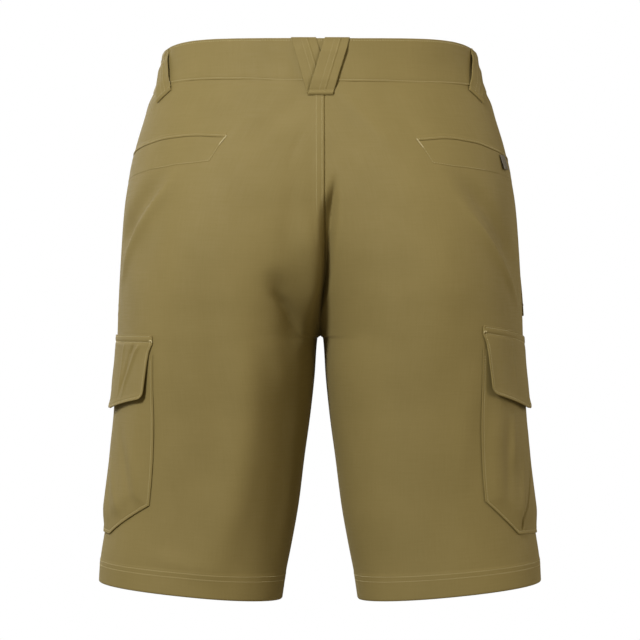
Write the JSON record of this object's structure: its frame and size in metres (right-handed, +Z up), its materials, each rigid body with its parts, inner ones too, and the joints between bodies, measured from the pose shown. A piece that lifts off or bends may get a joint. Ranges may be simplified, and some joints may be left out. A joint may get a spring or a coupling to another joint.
{
  "type": "cargo shorts",
  "caption": "Knee-length cargo shorts, filled out as if worn, with an open waist and legs, belt loops, back welt pockets and flapped side pockets.",
  "frame": {"origin": "centre of the waist, where the wearer holds the shorts, half way up the waistband at the side seams", "axes": "+Z up towards the waist, -Y the front of the shorts, +X the wearer's left"},
  "size_m": [0.4422, 0.2607, 0.5507],
  "materials": {
    "fabric": "olive khaki stretch woven cloth, fine plain weave, faint sheen",
    "button": "brown moulded button, satin",
    "tab": "plain grey woven tape"
  },
  "bodies": {
    "root": {"waistband": "fabric", "back_panel_left": "fabric", "back_panel_right": "fabric", "front_panel_left": "fabric", "front_panel_right": "fabric", "fly": "fabric", "waist_button": "button", "back_pocket_welt_left": "fabric", "back_pocket_welt_right": "fabric", "pocket_tab": "tab", "hand_pocket_edge_left": "fabric", "hand_pocket_edge_right": "fabric", "cargo_pocket_left": "fabric", "cargo_pocket_right": "fabric", "cargo_flap_left": "fabric", "cargo_flap_right": "fabric", "back_loop_left_strap": "fabric", "back_loop_right_strap": "fabric", "side_loop_left": "fabric", "side_loop_right": "fabric", "front_loop_left": "fabric", "front_loop_right": "fabric"}
  },
  "joints": []
}
